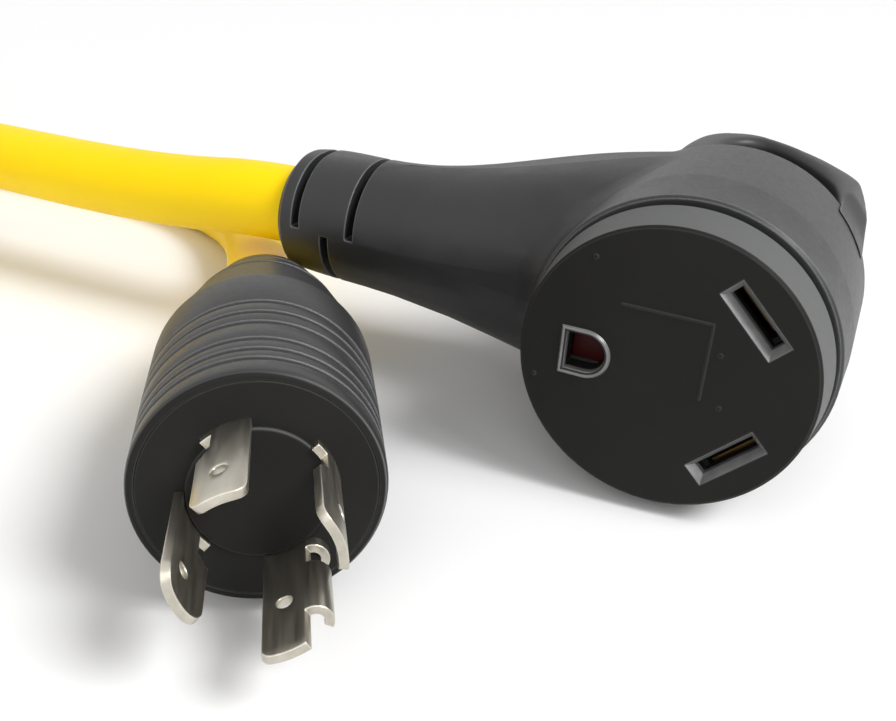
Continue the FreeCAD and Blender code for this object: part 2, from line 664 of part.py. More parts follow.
def coil_ends():
    """The coil's two end points, after its straight leads."""
    start = coil_point(0) - coil_heading(0) * COIL_LEAD
    end = coil_point(COIL_TURN_DEG) + coil_heading(COIL_TURN_DEG) * COIL_LEAD
    return start, end


def make_coil():
    """The coiled middle of the cord, as one unbroken tube on quarter-turn biarcs."""
    start, end = coil_ends()
    flat = (COIL_TURN_DEG - CLIMB_DEG) / 2
    marks = []
    for low, high, count in ((0.0, flat, 7), (flat, flat + CLIMB_DEG, 4), (flat + CLIMB_DEG, COIL_TURN_DEG, 7)):
        marks += [low + (high - low) * i / count for i in range(count)]
    marks.append(COIL_TURN_DEG)
    edges = [Part.LineSegment(start, coil_point(0)).toShape()]
    for low, high in zip(marks, marks[1:]):
        edges += biarc(coil_point(low), coil_heading(low), coil_point(high), coil_heading(high))
    edges.append(Part.LineSegment(coil_point(COIL_TURN_DEG), end).toShape())
    wire = Part.Wire(edges)
    solid = pipe(wire, start, coil_heading(0), CORD_R)
    ideal = math.pi * CORD_R ** 2 * wire.Length
    print("coil: length %.1f, volume ratio %.4f" % (wire.Length, solid.Volume / ideal))
    samples = [(a, coil_point(a)) for a in [i * 3.0 for i in range(int(COIL_TURN_DEG / 3) + 1)]]
    least = min((p - q).Length for i, (a, p) in enumerate(samples) for b, q in samples[i:] if b - a > 120)
    print("coil: least gap to itself %.2f (needs %.1f)" % (least - 2 * CORD_R, MIN_GAP))
    return solid, wire.Length


def make_cord():
    """The two free stretches and the coil."""
    coil_start, coil_end = coil_ends()
    neck_end = head_point(V(-NECK_LENGTH, NECK_Y, 0))
    neck_out = (neck_end - head_point(V(0, NECK_Y, 0))).normalize()
    last = coil_end + coil_heading(COIL_TURN_DEG) * COIL_RUN
    head_route = [neck_end, neck_end + neck_out * HEAD_RUN] + [on_floor(*p) for p in HEAD_POINTS] + [last, coil_end]
    tail_y = PLUG_PROFILE[-1][1]
    tail = plug_point(V(0, tail_y, 0))
    tail_out = (tail - plug_point(V(0, 0, 0))).normalize()
    first = coil_start - coil_heading(0) * PLUG_COIL_RUN
    plug_route = [tail, tail + tail_out * PLUG_RUN] + [on_floor(*p) for p in PLUG_POINTS] + [first, coil_start]
    for label, route in (("head route", head_route), ("plug route", plug_route)):
        print(label, [tuple(round(c, 2) for c in p) for p in route])
    head_cord = tube(head_route, CORD_R, "outlet_cord")
    plug_cord = tube(plug_route, CORD_R, "plug_cord")
    coil, coil_length = make_coil()
    free = rounded_path(head_route)[0].Length + rounded_path(plug_route)[0].Length
    print("cord length between the two mouldings: %.1f" % (free + coil_length))
    return head_cord, coil, plug_cord


def build_head():
    """Every piece of the outlet head, in its own axes, by node name."""
    nodes = {}
    strands = []
    for name, frame, half, gap, side in CONTACTS:
        nodes[name + "_contact"] = moved(contact_solid(half, gap, side), frame)
        nodes[name + "_contact_leaf"] = moved(leaf_solid(half, gap, side), frame)
        strands.append(moved(cylinder(CRIMP_BORE_R, CONTACT_BACK_Y, CONTACT_BACK_Y + CRIMP_LENGTH), frame))
    nodes["outlet_face"] = make_face()
    nodes["contact_carrier"] = make_carrier()
    screws = make_screws()
    nodes["carrier_screws"] = Part.makeCompound(screws)
    wires = make_head_wires()
    for name, solid in wires.items():
        nodes["outlet_%s_wire" % name] = solid
    nodes["outlet_strand_ends"] = Part.makeCompound(strands)
    jacket = Part.makeCylinder(CORD_R, NECK_LENGTH - JACKET_START, V(-NECK_LENGTH, NECK_Y, 0), V(1, 0, 0))
    nodes["outlet_jacket_end"] = jacket
    crimps = [moved(cylinder(CRIMP_R, CARRIER_BACK_Y, CONTACT_BACK_Y + CRIMP_LENGTH), f) for n, f, h, g, s in CONTACTS]
    form = housing_form()
    nodes["outlet_housing"] = make_housing(form, screws + crimps + list(wires.values()) + [jacket])
    nodes["pull_handle"] = make_handle(form)
    return nodes


def build_plug():
    """Every piece of the plug, in its own axes, by node name."""
    nodes = {}
    crimps = []
    strands = []
    for name, middle, span, tip in BLADES:
        nodes[name] = make_blade(middle, span, tip, name == "ground_blade")
        at = on_circle(BLADE_CIRCLE_R, middle, 0)
        crimps.append(cylinder(CRIMP_R, PLUG_CARRIER_Y, PLUG_CRIMP_END_Y, at.x, at.z))
        if name != "spare_line_blade":
            strands.append(cylinder(CRIMP_BORE_R, PLUG_CARRIER_Y, PLUG_CRIMP_END_Y, at.x, at.z))
    blades = [nodes[name] for name, middle, span, tip in BLADES]
    face = fused(cylinder(PLUG_INSERT_R, 0, PLUG_INSERT_Y), cylinder(BOSS_R, -BOSS_HEIGHT, 0))
    nodes["plug_face"] = cut(face, *blades)
    nodes["blade_carrier"] = cut(cylinder(PLUG_CARRIER_R, PLUG_INSERT_Y, PLUG_CARRIER_Y), *blades)
    wires = make_plug_wires()
    for name, solid in wires.items():
        nodes["plug_%s_wire" % name] = solid
    nodes["plug_strand_ends"] = Part.makeCompound(strands)
    jacket = cylinder(CORD_R, PLUG_JACKET_Y, PLUG_PROFILE[-1][1])
    nodes["plug_jacket_end"] = jacket
    inside = [cylinder(PLUG_INSERT_R, 0, PLUG_INSERT_Y), cylinder(PLUG_CARRIER_R, PLUG_INSERT_Y, PLUG_CARRIER_Y)]
    nodes["plug_body"] = make_plug_body(inside + crimps + list(wires.values()) + [jacket])
    return nodes


def report_places():
    """Print the places that the mounts and joints are measured from."""
    print("face centre", tuple(HEAD_AT), "plug face centre", tuple(PLUG_AT))
    print("plug axis", tuple(plug_point(V(0, 1, 0)) - PLUG_AT))
    for name, frame, half, gap, side in CONTACTS:
        plate, tip, root, holder = contact_levels(gap)
        back = CONTACT_BACK_Y - STRIP - SEAT_GAP
        here = frame.multVec(V(0, back, root * side))
        axis = frame.Rotation.multVec(V(1, 0, 0))
        roll_turn = FreeCAD.Rotation(V(0, 1, 0), REST_ROLL)
        print(name, "leaf root", tuple(head_point(here)), "axis", tuple(roll_turn.multVec(axis)))
        print(name, "opening", tuple(head_point(frame.Base)))


def main():
    """Build and write every node."""
    os.makedirs("parts", exist_ok=True)
    for name, shape in build_head().items():
        save(name, place_head(shape))
    for name, shape in build_plug().items():
        save(name, place_plug(shape))
    head_cord, coil, plug_cord = make_cord()
    save("outlet_cord", head_cord)
    save("cord_coil", coil)
    save("plug_cord", plug_cord)
    report_places()


main()
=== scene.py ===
"""Dresses the shore power cord: an angled outlet head, a coiled yellow cord and a twist-lock plug.

Sizes are in millimetres, except those that are said to be in metres. The outlet head and the plug
are modelled in their own axes, with the face at y = 0 and the moulding behind it at larger y, and
are then put in their place in the frame.
"""

from __future__ import annotations

import json
import logging
import math
from collections.abc import Mapping, Sequence
from dataclasses import dataclass
from enum import Enum

import bpy
from bpy.types import ID, Material, Mesh, Node, NodeSocket, NodeTree, Object
from mathutils import Euler, Matrix, Vector

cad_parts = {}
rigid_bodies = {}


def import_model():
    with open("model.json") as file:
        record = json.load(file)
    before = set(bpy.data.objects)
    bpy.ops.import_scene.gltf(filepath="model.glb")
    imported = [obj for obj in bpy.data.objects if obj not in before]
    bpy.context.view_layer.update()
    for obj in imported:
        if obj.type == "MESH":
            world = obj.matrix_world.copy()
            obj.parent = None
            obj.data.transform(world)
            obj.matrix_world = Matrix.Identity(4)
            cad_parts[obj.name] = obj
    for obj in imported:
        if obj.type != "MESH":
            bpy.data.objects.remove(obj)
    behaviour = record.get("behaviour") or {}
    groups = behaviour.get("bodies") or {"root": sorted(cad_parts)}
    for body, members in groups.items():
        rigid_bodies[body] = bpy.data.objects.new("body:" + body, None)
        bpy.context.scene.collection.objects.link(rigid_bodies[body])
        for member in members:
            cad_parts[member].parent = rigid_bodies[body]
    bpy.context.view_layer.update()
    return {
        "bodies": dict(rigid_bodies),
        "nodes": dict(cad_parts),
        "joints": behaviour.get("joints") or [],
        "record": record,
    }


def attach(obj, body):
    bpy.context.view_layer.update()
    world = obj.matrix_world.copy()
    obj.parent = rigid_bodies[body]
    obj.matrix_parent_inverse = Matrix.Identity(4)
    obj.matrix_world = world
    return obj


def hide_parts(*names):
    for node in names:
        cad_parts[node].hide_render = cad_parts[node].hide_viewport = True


LOG = logging.getLogger("shore_power_cord")
Point = tuple[float, float, float]
Flat = tuple[float, float]
Materials = dict[str, Material]

MM = 0.001  # One millimetre in metres.
MERGE = 1e-6  # Distance in metres at which doubles are merged.
CUT_OVER = 3.0  # How far a cutter stands out of what it cuts.
SMOOTH_DEG = 32.0  # Greatest angle between faces that is shaded smooth.
EDGE_DEG = 35.0  # Least angle between faces whose edge is rounded.
EDGE_ROWS = 3  # Rows of faces on a rounded edge.

HEAD_FACE = (0.035905, -0.050581, 0.0309)  # Middle of the outlet's face in metres.
HEAD_TILT = math.radians(3.6)
HEAD_PLACE = Matrix.Translation(HEAD_FACE) @ Matrix.Rotation(HEAD_TILT, 4, "Y")
PLUG_FACE = (-0.014495, -0.107081, 0.024304)  # Middle of the plug's face in metres.
PLUG_TURN = math.radians(33.4)
PLUG_TILT = math.radians(-3.2)
PLUG_PLACE = (
    Matrix.Translation(PLUG_FACE)
    @ Matrix.Rotation(PLUG_TURN, 4, "Z")
    @ Matrix.Rotation(PLUG_TILT, 4, "X")
)

FRONT = (0.0, -1.0, 0.0)  # Direction in which the outlet's face looks.
FLANK_REACH = 26.5  # Distance from the head's axis beyond which a surface is a flank.
FLANK_LIKENESS = (0.6, 0.3)  # Normal times FRONT, where a flank starts and where it is whole.
EDGE_HIGHLIGHT_LIKENESS = (0.99, 0.88)  # Normal times softened normal, on a plain face and on an edge with the painted highlight.
BEVEL_SAMPLES = 4
PATCH_DETAIL = 3.0
GRAIN_DETAIL = 2.0
GRAIN_SHARE = 0.5  # Share of the fine grain in the relief.
RELIEF_STRENGTH = 0.6


class Body(Enum):
    """The rigid body that the scene's own pieces ride on."""

    CORD_SET = "cord_set"


class Slot(Enum):
    """The record's material slots."""

    MOULDING = "black_moulding"
    FACE = "black_face"
    JACKET = "yellow_jacket"
    BLADE = "plated_blade"
    BRASS = "contact_brass"
    COPPER = "copper_strand"
    STEEL = "zinc_steel"
    WHITE = "white_insulation"
    BLACK = "black_insulation"
    GREEN = "green_insulation"


class Join(Enum):
    """The ways of combining two solids."""

    CUT = "DIFFERENCE"
    ADD = "UNION"


class Side(Enum):
    """The upper and lower half of a moulding, as the sign of Z in its own axes."""

    UPPER = 1
    LOWER = -1


def in_metres(place: Sequence[float]) -> Vector:
    """Turns a place or a step from millimetres into metres."""
    return Vector([value * MM for value in place])


def eased(share: float, whole: float) -> float:
    """Gives a gentle rise from 0 to the whole as the share goes from 0 to 1."""
    return whole * share**2 * (3 - 2 * share)


def box_section(inner: float, outer: float, low: float, high: float) -> list[Flat]:
    """Lists the corners of a four-sided section, as (radius, y)."""
    return [(inner, low), (outer, low), (outer, high), (inner, high)]


def set_inputs(tree: NodeTree, node: Node, inputs: Mapping[str | int, object]) -> None:
    """Fills a node's inputs.

    Args:
        tree: The tree that holds the node.
        node: The node.
        inputs: By input, the output socket that is linked to it or the value that it is set to.
    """
    for key, value in inputs.items():
        if isinstance(value, NodeSocket):
            tree.links.new(value, node.inputs[key])
        else:
            node.inputs[key].default_value = value


def add_node(
    tree: NodeTree,
    kind: str,
    inputs: Mapping[str | int, object] | None = None,
    **settings: object,
) -> Node:
    """Adds a shader node.

    Args:
        tree: The tree that gets the node.
        kind: The node's type, without its prefix.
        inputs: What goes to its inputs, as for set_inputs.
        settings: The node's options.

    Returns:
        The new node.
    """
    node = tree.nodes.new(f"ShaderNode{kind}")
    for name, value in settings.items():
        setattr(node, name, value)
    set_inputs(tree, node, inputs or {})
    return node


def new_group(
    name: str, inputs: Mapping[str, str], outputs: Mapping[str, str]
) -> tuple[NodeTree, Node, Node]:
    """Starts a shader node group.

    Args:
        name: The group's name.
        inputs: Kinds of its input sockets, by name.
        outputs: Kinds of its output sockets, by name.

    Returns:
        The group, the node that holds what it is given, and the node that takes its results.
    """
    group = bpy.data.node_groups.new(name, "ShaderNodeTree")
    for way, sockets in (("INPUT", inputs), ("OUTPUT", outputs)):
        for socket, kind in sockets.items():
            group.interface.new_socket(socket, in_out=way, socket_type=f"NodeSocket{kind}")
    return group, group.nodes.new("NodeGroupInput"), group.nodes.new("NodeGroupOutput")


def mottle_group() -> NodeTree:
    """Builds the shared effect that varies a surface and gives it a fine relief.

    Returns:
        A group with a slow mask, a fine mask and a height, all in Object coordinates.
    """
    group, given, results = new_group(
        "surface_mottle",
        {"Patch Size": "Float", "Grain Size": "Float", "Turn": "Vector", "Stretch": "Vector"},
        {"Patches": "Float", "Grain": "Float", "Height": "Float"},
    )
    lay = {
        "Vector": add_node(group, "TexCoord").outputs["Object"],
        "Rotation": given.outputs["Turn"],
        "Scale": given.outputs["Stretch"],
    }
    laid = add_node(group, "Mapping", lay, vector_type="TEXTURE").outputs["Vector"]
    masks = []
    for size, detail in (("Patch Size", PATCH_DETAIL), ("Grain Size", GRAIN_DETAIL)):
        inputs = {"Vector": laid, "Scale": given.outputs[size], "Detail": detail}
        masks.append(add_node(group, "TexNoise", inputs).outputs["Fac"])
    patches, grain = masks
    height = add_node(group, "Mix", {"Factor": GRAIN_SHARE, "A": patches, "B": grain})
    set_inputs(
        group, results, {"Patches": patches, "Grain": grain, "Height": height.outputs["Result"]}
    )
    return group


def share_between(tree: NodeTree, value: NodeSocket, ends: Flat) -> NodeSocket:
    """Turns a value into a share.

    Args:
        tree: The node tree.
        value: The socket that gives the value.
        ends: The values at which the share is 0 and 1.

    Returns:
        The socket that gives the share.
    """
    inputs = {"Value": value, "From Min": ends[0], "From Max": ends[1]}
    return add_node(tree, "MapRange", inputs).outputs["Result"]


def edge_group() -> NodeTree:
    """Builds the shared effect that softens edges and marks them for a painted highlight.

    Returns:
        A group with the softened normal and a mask of the edges that get the painted highlight.
    """
    group, given, results = new_group(
        "soft_edges_painted_highlight", {"Radius": "Float"}, {"Soft Normal": "Vector", "Painted Highlight": "Float"}
    )
    soft = add_node(group, "Bevel", {"Radius": given.outputs["Radius"]}, samples=BEVEL_SAMPLES)
    both = {0: add_node(group, "NewGeometry").outputs["Normal"], 1: soft.outputs["Normal"]}
    likeness = add_node(group, "VectorMath", both, operation="DOT_PRODUCT")
    highlight_share = share_between(group, likeness.outputs["Value"], EDGE_HIGHLIGHT_LIKENESS)
    set_inputs(group, results, {"Soft Normal": soft.outputs["Normal"], "Painted Highlight": highlight_share})
    return group


def laid_over(tree: NodeTree, under: object, over: Point, mask: NodeSocket) -> NodeSocket:
    """Lays a colour over another one.

    Args:
        tree: The node tree.
        under: The lower colour, or the socket that gives it.
        over: The upper colour, linear.
        mask: The socket that gives the upper colour's share.

    Returns:
        The socket that gives the mixed colour.
    """
    mix = add_node(tree, "Mix", {"Factor": mask, "A": under, "B": (*over, 1.0)}, data_type="RGBA")
    return mix.outputs["Result"]


def flank_mask(tree: NodeTree) -> NodeSocket:
    """Finds the head's outer surfaces that don't face the front, which get the painted sheen.

    Args:
        tree: The node tree.

    Returns:
        The socket that gives the mask.
    """
    normal = add_node(tree, "NewGeometry").outputs["Normal"]
    likeness = add_node(tree, "VectorMath", {0: normal, 1: FRONT}, operation="DOT_PRODUCT")
    turned = share_between(tree, likeness.outputs["Value"], FLANK_LIKENESS)
    place = add_node(tree, "TexCoord").outputs["Object"]
    head_x, _, head_z = HEAD_PLACE.translation
    flat = {0: place, 1: (1.0, 0.0, 1.0), 2: (-head_x, 0.0, -head_z)}
    across = add_node(tree, "VectorMath", flat, operation="MULTIPLY_ADD").outputs["Vector"]
    reach = add_node(tree, "VectorMath", {0: across}, operation="LENGTH").outputs["Value"]
    outside = add_node(tree, "Math", {0: reach, 1: FLANK_REACH * MM}, operation="GREATER_THAN")
    both = add_node(tree, "Math", {0: outside.outputs["Value"], 1: turned}, operation="MULTIPLY")
    return both.outputs["Value"]


@dataclass(frozen=True)
class Effects:
    """The node groups that the materials share."""

    mottle: NodeTree  # The group that varies a surface.
    edges: NodeTree  # The group that softens edges and marks them for a painted highlight.


@dataclass(frozen=True)
class Finish:
    """A surface finish whose colour and gloss vary a little over the piece."""

    slot: Slot  # The material slot it dresses.
    dark: Point  # Colour of the darker patches, linear.
    light: Point  # Colour of the lighter patches, linear.
    rough: Flat  # Lowest and highest roughness.
    metallic: float = 0.0  # 1 for bare metal.
    patch: float = 60.0  # Density of the slow patches per metre.
    grain: float = 900.0  # Density of the fine grain per metre.
    relief: float = 0.02  # Height of the grain.
    specular: float = 0.5  # Strength of the surface's own reflection.
    round_edge: float = 0.35  # Radius of the softened edges.
    edge_highlight: Point | None = None  # Lighter colour painted on the edges as a highlight, linear, or nothing.
    # Painted sheen: lighter colour of the head's outer surfaces that don't face the front, linear,
    # or nothing.
    flank_sheen: Point | None = None
    streak: float = 1.0  # How many times longer the pattern is along the plug than across it.

    def colour(self, tree: NodeTree, mottle: Node, edges: Node) -> NodeSocket:
        """Lays the finish's colours over each other: patches, a painted sheen on the head's flanks,
        a painted highlight on the edges.

        Args:
            tree: The material's node tree.
            mottle: The node that varies the surface.
            edges: The node that finds the edges.

        Returns:
            The socket that gives the colour.
        """
        colour = laid_over(tree, (*self.dark, 1.0), self.light, mottle.outputs["Patches"])
        # The head's flanks get a lighter colour: painted sheen.
        if self.flank_sheen:
            colour = laid_over(tree, colour, self.flank_sheen, flank_mask(tree))
        # The edges get a lighter colour: painted highlight.
        if self.edge_highlight:
            colour = laid_over(tree, colour, self.edge_highlight, edges.outputs["Painted Highlight"])
        return colour

    def material(self, effects: Effects, name: str = "") -> Material:
        """Builds the material.

        Args:
            effects: The shared node groups.
            name: The material's name, or nothing for the slot's own.

        Returns:
            The finished material.
        """
        material = bpy.data.materials.new(name or self.slot.value)
        material.use_nodes = True
        tree = material.node_tree
        pattern = {
            "Patch Size": self.patch,
            "Grain Size": self.grain,
            "Turn": (0.0, 0.0, PLUG_TURN),
            "Stretch": (1.0, self.streak, 1.0),
        }
        mottle = add_node(tree, "Group", pattern, node_tree=effects.mottle)
        edges = add_node(tree, "Group", {"Radius": self.round_edge * MM}, node_tree=effects.edges)
        low, high = self.rough
        gloss = add_node(
            tree, "MapRange", {"Value": mottle.outputs["Grain"], "To Min": low, "To Max": high}
        )
        relief = {
            "Strength": RELIEF_STRENGTH,
            "Distance": self.relief * MM,
            "Height": mottle.outputs["Height"],
            "Normal": edges.outputs["Soft Normal"],
        }
        surface = {
            "Base Color": self.colour(tree, mottle, edges),
            "Roughness": gloss.outputs["Result"],
            "Normal": add_node(tree, "Bump", relief).outputs["Normal"],
            "Metallic": self.metallic,
            "Specular IOR Level": self.specular,
        }
        set_inputs(tree, tree.nodes["Principled BSDF"], surface)
        return material


FINISHES = (
    Finish(
        Slot.MOULDING,
        (0.017, 0.0172, 0.0175),
        (0.03, 0.0303, 0.031),
        (0.36, 0.5),
        specular=0.36,
        round_edge=0.55,
        # Thin light lines on the moulding's edges: painted highlight.
        edge_highlight=(0.2, 0.202, 0.207),
    ),
    Finish(
        Slot.FACE,
        (0.009, 0.0088, 0.0082),
        (0.015, 0.0146, 0.0138),
        (0.48, 0.62),
        relief=0.03,
        specular=0.12,
        round_edge=0.45,
        # Faint light outlines on the face's edges: painted highlight.
        edge_highlight=(0.05, 0.05, 0.048),
        # Lighter sides of the face insert: painted sheen.
        flank_sheen=(0.105, 0.107, 0.106),
    ),
    Finish(
        Slot.JACKET,
        (0.93, 0.62, 0.002),
        (0.98, 0.7, 0.004),
        (0.4, 0.52),
        patch=40.0,
        grain=700.0,
        specular=0.14,
    ),
    Finish(
        Slot.BLADE,
        (0.34, 0.315, 0.262),
        (0.68, 0.64, 0.555),
        (0.24, 0.46),
        metallic=1.0,
        patch=420.0,
        relief=0.004,
        # Lighter colour along the blades' rounded edges: painted highlight.
        edge_highlight=(0.85, 0.82, 0.72),
        streak=9.0,
    ),
    # Brass darkened far below its own colour: painted shade on the contacts deep in the slots.
    Finish(Slot.BRASS, (0.16, 0.1, 0.035), (0.26, 0.17, 0.06), (0.35, 0.5), metallic=1.0),
    Finish(Slot.COPPER, (0.6, 0.27, 0.13), (0.72, 0.36, 0.2), (0.3, 0.45), metallic=1.0),
    Finish(Slot.STEEL, (0.5, 0.51, 0.53), (0.62, 0.63, 0.65), (0.25, 0.35), metallic=1.0),
    Finish(Slot.WHITE, (0.72, 0.72, 0.7), (0.82, 0.82, 0.8), (0.4, 0.5)),
    Finish(Slot.BLACK, (0.015, 0.015, 0.015), (0.03, 0.03, 0.03), (0.4, 0.5)),
    Finish(Slot.GREEN, (0.03, 0.26, 0.08), (0.05, 0.34, 0.11), (0.4, 0.5)),
)
# Grey, partly metallic sheet on the funnel walls and the ground hole's rim: painted reflection, far
# lighter than the face's black.
LINING_REFLECTION_FINISH = Finish(
    Slot.FACE,
    (0.09, 0.09, 0.092),
    (0.26, 0.26, 0.26),
    (0.3, 0.46),
    metallic=0.35,
    patch=260.0,
    round_edge=0.2,
)
BACKING_FINISH = Finish(
    Slot.FACE, (0.022, 0.0012, 0.001), (0.05, 0.002, 0.002), (0.45, 0.6), specular=0.2
)


def add_object(name: str, data: ID) -> Object:
    """Adds an object to the scene.

    Args:
        name: The object's name.
        data: Its mesh, curve, lamp or camera.

    Returns:
        The object.
    """
    added = bpy.data.objects.new(name, data)
    bpy.context.scene.collection.objects.link(added)
    return added


def select_only(piece: Object) -> None:
    """Selects one piece alone and makes it the active one.

    Args:
        piece: The piece.
    """
    bpy.ops.object.select_all(action="DESELECT")
    piece.select_set(True)
    bpy.context.view_layer.objects.active = piece


def finish_modifier(piece: Object, name: str) -> None:
    """Applies one modifier of a piece."""
    select_only(piece)
    bpy.ops.object.modifier_apply(modifier=name)


def extrude(step: Vector) -> None:
    """Extrudes what is selected in edit mode by a step in metres."""
    bpy.ops.mesh.extrude_region_move(TRANSFORM_OT_translate={"value": step})


def start_outline(name: str, corners: Sequence[Point]) -> Object:
    """Draws a closed outline from one vertex, extruded from corner to corner, in edit mode.

    Args:
        name: The new piece's name.
        corners: The outline's corners.

    Returns:
        The piece, still in edit mode with its closed outline selected.
    """
    places = [in_metres(corner) for corner in corners]
    bpy.ops.object.select_all(action="DESELECT")
    bpy.ops.mesh.primitive_plane_add(size=MM)
    piece = bpy.context.object
    piece.name = piece.data.name = name
    bpy.ops.object.mode_set(mode="EDIT")
    bpy.ops.mesh.select_mode(type="VERT")
    bpy.ops.mesh.select_all(action="SELECT")
    bpy.ops.mesh.merge(type="CENTER")
    bpy.ops.transform.translate(value=places[0])
    for here, there in zip(places, [*places[1:], places[0]]):
        extrude(there - here)
    bpy.ops.mesh.select_all(action="SELECT")
    bpy.ops.mesh.remove_doubles(threshold=MERGE)
    bpy.ops.mesh.select_all(action="SELECT")
    return piece


def close_piece() -> None:
    """Merges doubles, turns the faces outwards and leaves edit mode."""
    bpy.ops.mesh.select_all(action="SELECT")
    bpy.ops.mesh.remove_doubles(threshold=MERGE)
    bpy.ops.mesh.normals_make_consistent(inside=False)
    bpy.ops.object.mode_set(mode="OBJECT")


def spun(
    name: str,
    section: Sequence[Flat],
    start_deg: float,
    span_deg: float,
    steps: int,
    axis: Flat = (0.0, 0.0),
) -> Object:
    """Spins a closed section about an axis along Y.

    Args:
        name: The new piece's name.
        section: Corners as (radius, y).
        start_deg: Angle of the section, from X towards Z.
        span_deg: Angle of the sweep.
        steps: Steps in the sweep.
        axis: The axis's (x, z).

    Returns:
        The closed solid.
    """
    turn = math.radians(start_deg)
    x, z = axis
    corners = [(x + r * math.cos(turn), y, z + r * math.sin(turn)) for r, y in section]
    piece = start_outline(name, corners)
    if span_deg < 360:
        bpy.ops.mesh.edge_face_add()
        bpy.ops.mesh.select_all(action="SELECT")
    bpy.ops.mesh.spin(
        steps=steps,
        angle=math.radians(span_deg),
        center=in_metres((x, 0.0, z)),
        axis=(0.0, 1.0, 0.0),
    )
    close_piece()
    return piece


def prism(name: str, corners: Sequence[Point], along: Point) -> Object:
    """Extrudes a flat outline into a closed prism.

    Args:
        name: The new piece's name.
        corners: The outline's corners.
        along: The extrusion.

    Returns:
        The prism.
    """
    piece = start_outline(name, corners)
    bpy.ops.mesh.edge_face_add()
    extrude(in_metres(along))
    close_piece()
    return piece


def combine(piece: Object, other: Object, join: Join) -> None:
    """Cuts another solid from a piece or adds it, and removes the other solid.

    Args:
        piece: The piece that stays.
        other: The solid that is used up.
        join: What happens to the piece.
    """
    joint = piece.modifiers.new("combine", "BOOLEAN")
    joint.operation = join.value
    joint.solver = "EXACT"
    joint.object = other
    finish_modifier(piece, joint.name)
    bpy.data.objects.remove(other)


def settle(piece: Object, place: Matrix, edge: float = 0.0, smooth_deg: float = SMOOTH_DEG) -> None:
    """Rounds a piece's edges, puts it in its place and smooths its faces.

    Args:
        piece: The piece, in its sub-assembly's own axes.
        place: Where those axes lie in the frame.
        edge: Width of the rounded edges, or 0 for none.
        smooth_deg: Greatest angle that is shaded smooth.
    """
    if edge:
        rounding = piece.modifiers.new("rounding", "BEVEL")
        rounding.width = edge * MM
        rounding.segments = EDGE_ROWS
        rounding.limit_method = "ANGLE"
        rounding.angle_limit = math.radians(EDGE_DEG)
        finish_modifier(piece, rounding.name)
    select_only(piece)
    piece.matrix_world = place
    bpy.ops.object.transform_apply(location=True, rotation=True, scale=True)
    bpy.ops.object.shade_smooth_by_angle(angle=math.radians(smooth_deg))


def hand_over(piece: Object, material: Material, slot: Slot, *nodes: str) -> None:
    """Dresses a piece, lets it ride on the cord set and hides the CAD nodes that it stands for.

    Args:
        piece: The finished piece.
        material: Its material.
        slot: The record's slot of its finish; not used.
        nodes: CAD nodes that it replaces.
    """
    piece.data.materials.clear()
    piece.data.materials.append(material)
    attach(piece, Body.CORD_SET.value)
    if nodes:
        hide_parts(*nodes)
    LOG.info("%s made", piece.name)


@dataclass
class HandleSkin:
    """The pull handle's skin: the strap with softly moulded edges."""

    grid: float = 0.55  # Size of the new faces.
    passes: int = 14  # Smoothing passes over them.
    barrel: float = 31.2  # Reach of the strap at its root, just outside the barrel.
    root_start: float = 54.0  # Distance behind the face at which the strap starts to stand out.
    root_run: float = 22.0  # Length over which it comes to its whole width.
    stand_out: float = 8.0  # How much farther it may reach after that.

    def tuck_root(self, mesh: Mesh) -> None:
        """Draws the strap's root in to the barrel's round side.

        Args:
            mesh: The skin's mesh, in the frame's axes.
        """
        to_head = HEAD_PLACE.inverted()
        for vertex in mesh.vertices:
            place = to_head @ vertex.co
            share = min(max((place.y / MM - self.root_start) / self.root_run, 0.0), 1.0)
            limit = (self.barrel + eased(share, self.stand_out)) * MM
            reach = math.hypot(place.x, place.z)
            if reach > limit:
                place.x *= limit / reach
                place.z *= limit / reach
                vertex.co = HEAD_PLACE @ place

    def build(self, frame: dict, materials: Materials) -> None:
        """Makes the skin from a merged copy of the strap's solid and hands it over.

        Args:
            frame: The loaded frame.
            materials: Materials by slot name.
        """
        skin = add_object("pull_handle_skin", frame["nodes"]["pull_handle"].data.copy())
        skin.data.name = skin.name
        select_only(skin)
        bpy.ops.object.mode_set(mode="EDIT")
        bpy.ops.mesh.select_all(action="SELECT")
        bpy.ops.mesh.remove_doubles(threshold=MERGE)
        bpy.ops.object.mode_set(mode="OBJECT")
        even = skin.modifiers.new("even_faces", "REMESH")
        even.mode = "VOXEL"
        even.voxel_size = self.grid * MM
        finish_modifier(skin, even.name)
        self.tuck_root(skin.data)
        relax = skin.modifiers.new("soft_edges", "SMOOTH")
        relax.iterations = self.passes
        finish_modifier(skin, relax.name)
        bpy.ops.object.shade_smooth()
        hand_over(skin, materials[Slot.MOULDING.value], Slot.MOULDING, "pull_handle")


